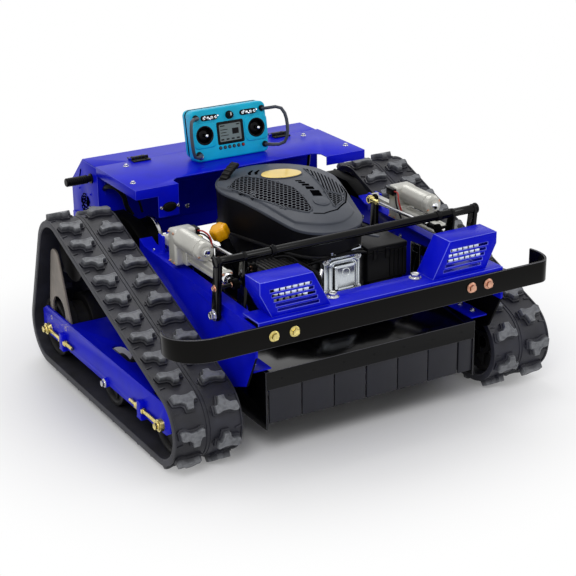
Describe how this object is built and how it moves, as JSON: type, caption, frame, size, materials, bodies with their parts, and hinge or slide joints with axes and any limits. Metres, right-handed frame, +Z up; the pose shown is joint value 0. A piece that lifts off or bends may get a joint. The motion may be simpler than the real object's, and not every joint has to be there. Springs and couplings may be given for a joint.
{
  "type": "remote control slope mower",
  "caption": "Low tracked mower with rubber belts, a lifting cutting deck under a vertical-shaft engine, front lamps and bumper, a rear equipment box and a hand controller.",
  "frame": {"origin": "middle of the overall width and length, on the ground under the belts", "axes": "+Z up, +X to the machine's left-hand side as seen from in front, the front faces -Y"},
  "size_m": [1.1, 1.09, 0.6681],
  "materials": {
    "blue_paint": "gloss powder coat",
    "black_paint": "gloss enamel",
    "guard_steel": "dusty grey primer",
    "belt_rubber": "matte, worn paler on the lugs",
    "skirt_rubber": "matte",
    "wheel_plastic": "matte moulded",
    "bright_steel": "turned and zinc plated",
    "zinc_steel": "bluish zinc plate",
    "muffler_steel": "heat resistant matte black",
    "actuator_aluminium": "fine cast and extruded",
    "engine_aluminium": "dark painted casting",
    "cover_plastic": "fine texture",
    "dark_plastic": "satin",
    "yellow_plastic": "satin",
    "cyan_plastic": "gloss",
    "battery_case": "matte",
    "lamp_lens": "clear cover over bright cups",
    "screen_glass": "polished"
  },
  "bodies": {
    "root": {"side_plate_left": "blue_paint", "side_plate_right": "blue_paint", "track_belt_left": "belt_rubber", "track_belt_right": "belt_rubber", "track_beam_left": "blue_paint", "track_beam_right": "blue_paint", "sprocket_guard_left": "guard_steel", "sprocket_guard_right": "guard_steel", "drive_motor_left": "black_paint", "drive_motor_right": "black_paint", "lamp_housing_left": "blue_paint", "lamp_housing_right": "blue_paint", "lamp_left": "lamp_lens", "lamp_right": "lamp_lens", "front_crossmember": "blue_paint", "bumper": "black_paint", "equipment_box": "blue_paint", "battery": "battery_case", "side_grip": "dark_plastic", "top_shelf": "blue_paint"},
    "sprocket_left": {"sprocket_left": "bright_steel"},
    "sprocket_right": {"sprocket_right": "bright_steel"},
    "front_idler_left": {"front_idler_left": "wheel_plastic"},
    "front_idler_right": {"front_idler_right": "wheel_plastic"},
    "rear_idler_left": {"rear_idler_left": "wheel_plastic"},
    "rear_idler_right": {"rear_idler_right": "wheel_plastic"},
    "mid_roller_left": {"mid_roller_left": "wheel_plastic"},
    "mid_roller_right": {"mid_roller_right": "wheel_plastic"},
    "deck": {"deck_shell": "black_paint", "front_skirt": "skirt_rubber", "engine_block": "engine_aluminium", "engine_cover": "cover_plastic", "valve_cover": "zinc_steel", "air_cleaner": "dark_plastic", "muffler": "muffler_steel", "oil_filler_tube": "dark_plastic"},
    "lift_frame": {"lift_frame": "black_paint"},
    "rear_rocker_left": {"rear_rocker_left": "black_paint"},
    "rear_rocker_right": {"rear_rocker_right": "black_paint"},
    "stay_rod_left": {"stay_rod_left": "bright_steel"},
    "stay_rod_right": {"stay_rod_right": "bright_steel"},
    "actuator_housing_left": {"actuator_housing_left": "actuator_aluminium"},
    "actuator_housing_right": {"actuator_housing_right": "actuator_aluminium"},
    "actuator_rod_left": {"actuator_rod_left": "bright_steel"},
    "actuator_rod_right": {"actuator_rod_right": "bright_steel"},
    "cutter": {"crankshaft": "bright_steel", "blade": "bright_steel"},
    "oil_cap": {"oil_cap": "yellow_plastic"},
    "starter_grip": {"starter_grip": "dark_plastic"},
    "box_lid": {"box_lid": "blue_paint"},
    "remote": {"remote_shell_front": "cyan_plastic", "remote_shell_back": "cyan_plastic", "remote_screen": "screen_glass", "remote_handle_left": "dark_plastic", "remote_handle_right": "dark_plastic"},
    "remote_knob": {"remote_knob": "dark_plastic"},
    "joystick_ring_left": {"joystick_ring_left": "dark_plastic"},
    "joystick_ring_right": {"joystick_ring_right": "dark_plastic"},
    "joystick_left": {"joystick_left": "bright_steel"},
    "joystick_right": {"joystick_right": "bright_steel"}
  },
  "joints": [
    {"name": "sprocket_left_turn", "type": "hinge", "parent": "root", "child": "sprocket_left", "pos_m": [-0.46, 0.2247, 0.35], "axis": [1, 0, 0], "continuous": true, "deforming": ["track_belt_left"]},
    {"name": "sprocket_right_turn", "type": "hinge", "parent": "root", "child": "sprocket_right", "pos_m": [0.46, 0.2247, 0.35], "axis": [1, 0, 0], "continuous": true, "deforming": ["track_belt_right"]},
    {"name": "front_idler_left_turn", "type": "hinge", "parent": "root", "child": "front_idler_left", "pos_m": [-0.46, -0.387, 0.115], "axis": [1, 0, 0], "continuous": true},
    {"name": "front_idler_right_turn", "type": "hinge", "parent": "root", "child": "front_idler_right", "pos_m": [0.46, -0.387, 0.115], "axis": [1, 0, 0], "continuous": true},
    {"name": "rear_idler_left_turn", "type": "hinge", "parent": "root", "child": "rear_idler_left", "pos_m": [-0.46, 0.306, 0.115], "axis": [1, 0, 0], "continuous": true},
    {"name": "rear_idler_right_turn", "type": "hinge", "parent": "root", "child": "rear_idler_right", "pos_m": [0.46, 0.306, 0.115], "axis": [1, 0, 0], "continuous": true},
    {"name": "mid_roller_left_turn", "type": "hinge", "parent": "root", "child": "mid_roller_left", "pos_m": [-0.46, -0.068, 0.0993], "axis": [1, 0, 0], "continuous": true},
    {"name": "mid_roller_right_turn", "type": "hinge", "parent": "root", "child": "mid_roller_right", "pos_m": [0.46, -0.068, 0.0993], "axis": [1, 0, 0], "continuous": true},
    {"name": "deck_lift", "type": "slide", "parent": "root", "child": "deck", "axis": [0, 0, 1], "range_m": [-0.012, 0.05]},
    {"name": "lift_frame_swing", "type": "hinge", "parent": "root", "child": "lift_frame", "pos_m": [0, -0.359, 0.351], "axis": [1, 0, 0], "range_deg": [-5.5, 22.3]},
    {"name": "rear_rocker_left_swing", "type": "hinge", "parent": "root", "child": "rear_rocker_left", "pos_m": [-0.284, -0.045, 0.341], "axis": [1, 0, 0], "range_deg": [-5.5, 22.3]},
    {"name": "rear_rocker_right_swing", "type": "hinge", "parent": "root", "child": "rear_rocker_right", "pos_m": [0.284, -0.045, 0.341], "axis": [1, 0, 0], "range_deg": [-5.5, 22.3]},
    {"name": "stay_rod_left_turn", "type": "hinge", "parent": "lift_frame", "child": "stay_rod_left", "pos_m": [-0.268, -0.363, 0.451], "axis": [1, 0, 0], "range_deg": [-22.3, 5.5]},
    {"name": "stay_rod_right_turn", "type": "hinge", "parent": "lift_frame", "child": "stay_rod_right", "pos_m": [0.268, -0.363, 0.451], "axis": [1, 0, 0], "range_deg": [-22.3, 5.5]},
    {"name": "actuator_left_tilt", "type": "hinge", "parent": "root", "child": "actuator_housing_left", "pos_m": [-0.32, 0.007, 0.422], "axis": [1, 0, 0], "range_deg": [-0.4, 1.3]},
    {"name": "actuator_right_tilt", "type": "hinge", "parent": "root", "child": "actuator_housing_right", "pos_m": [0.32, 0.007, 0.422], "axis": [1, 0, 0], "range_deg": [-0.4, 1.3]},
    {"name": "actuator_left_stroke", "type": "slide", "parent": "actuator_housing_left", "child": "actuator_rod_left", "axis": [0, -1, 0], "range_m": [-0.0066, 0.0265]},
    {"name": "actuator_right_stroke", "type": "slide", "parent": "actuator_housing_right", "child": "actuator_rod_right", "axis": [0, -1, 0], "range_m": [-0.0066, 0.0265]},
    {"name": "cutter_spin", "type": "hinge", "parent": "deck", "child": "cutter", "pos_m": [0, -0.018, 0.11], "axis": [0, 0, 1], "continuous": true},
    {"name": "oil_cap_turn", "type": "hinge", "parent": "deck", "child": "oil_cap", "pos_m": [-0.187, -0.052, 0.42], "axis": [-0.4361, 0, 0.8999], "range_deg": [0, 90]},
    {"name": "starter_pull", "type": "slide", "parent": "deck", "child": "starter_grip", "axis": [0, 0, 1], "range_m": [0, 0.3], "stiffness_N_per_m": 25},
    {"name": "box_lid_hinge", "type": "hinge", "parent": "root", "child": "box_lid", "pos_m": [0, 0.362, 0.5328], "axis": [1, 0, 0], "range_deg": [0, 85]},
    {"name": "remote_lift_off", "type": "slide", "parent": "root", "child": "remote", "axis": [0, 0, 1], "range_m": [0, 0.25]},
    {"name": "remote_knob_turn", "type": "hinge", "parent": "remote", "child": "remote_knob", "pos_m": [0.006, 0.26049, 0.64451], "axis": [0, 0.9848, -0.1736], "range_deg": [-135, 135]},
    {"name": "joystick_left_pitch", "type": "hinge", "parent": "remote", "child": "joystick_ring_left", "pos_m": [-0.074, 0.26137, 0.59764], "axis": [1, 0, 0], "range_deg": [-18, 18], "stiffness_Nm_per_rad": 0.15},
    {"name": "joystick_right_pitch", "type": "hinge", "parent": "remote", "child": "joystick_ring_right", "pos_m": [0.086, 0.26137, 0.59764], "axis": [1, 0, 0], "range_deg": [-18, 18], "stiffness_Nm_per_rad": 0.15},
    {"name": "joystick_left_sway", "type": "hinge", "parent": "joystick_ring_left", "child": "joystick_left", "pos_m": [-0.074, 0.26137, 0.59764], "axis": [0, 0.1736, 0.9848], "range_deg": [-18, 18], "stiffness_Nm_per_rad": 0.15},
    {"name": "joystick_right_sway", "type": "hinge", "parent": "joystick_ring_right", "child": "joystick_right", "pos_m": [0.086, 0.26137, 0.59764], "axis": [0, 0.1736, 0.9848], "range_deg": [-18, 18], "stiffness_Nm_per_rad": 0.15}
  ],
  "couplings": [
    {"joint": "front_idler_left_turn", "follows": "sprocket_left_turn", "ratio": 0.96296},
    {"joint": "rear_idler_left_turn", "follows": "sprocket_left_turn", "ratio": 0.96296},
    {"joint": "mid_roller_left_turn", "follows": "sprocket_left_turn", "ratio": 1.1945},
    {"joint": "front_idler_right_turn", "follows": "sprocket_right_turn", "ratio": 0.96296},
    {"joint": "rear_idler_right_turn", "follows": "sprocket_right_turn", "ratio": 0.96296},
    {"joint": "mid_roller_right_turn", "follows": "sprocket_right_turn", "ratio": 1.1945},
    {"joint": "lift_frame_swing", "follows": "deck_lift", "rad_per_m": 7.6923},
    {"joint": "rear_rocker_left_swing", "follows": "deck_lift", "rad_per_m": 7.6923},
    {"joint": "rear_rocker_right_swing", "follows": "deck_lift", "rad_per_m": 7.6923},
    {"joint": "stay_rod_left_turn", "follows": "deck_lift", "rad_per_m": -7.6923},
    {"joint": "stay_rod_right_turn", "follows": "deck_lift", "rad_per_m": -7.6923},
    {"joint": "actuator_left_tilt", "follows": "deck_lift", "rad_per_m": 0.41},
    {"joint": "actuator_right_tilt", "follows": "deck_lift", "rad_per_m": 0.41},
    {"joint": "actuator_left_stroke", "follows": "deck_lift", "ratio": 0.522},
    {"joint": "actuator_right_stroke", "follows": "deck_lift", "ratio": 0.522}
  ]
}
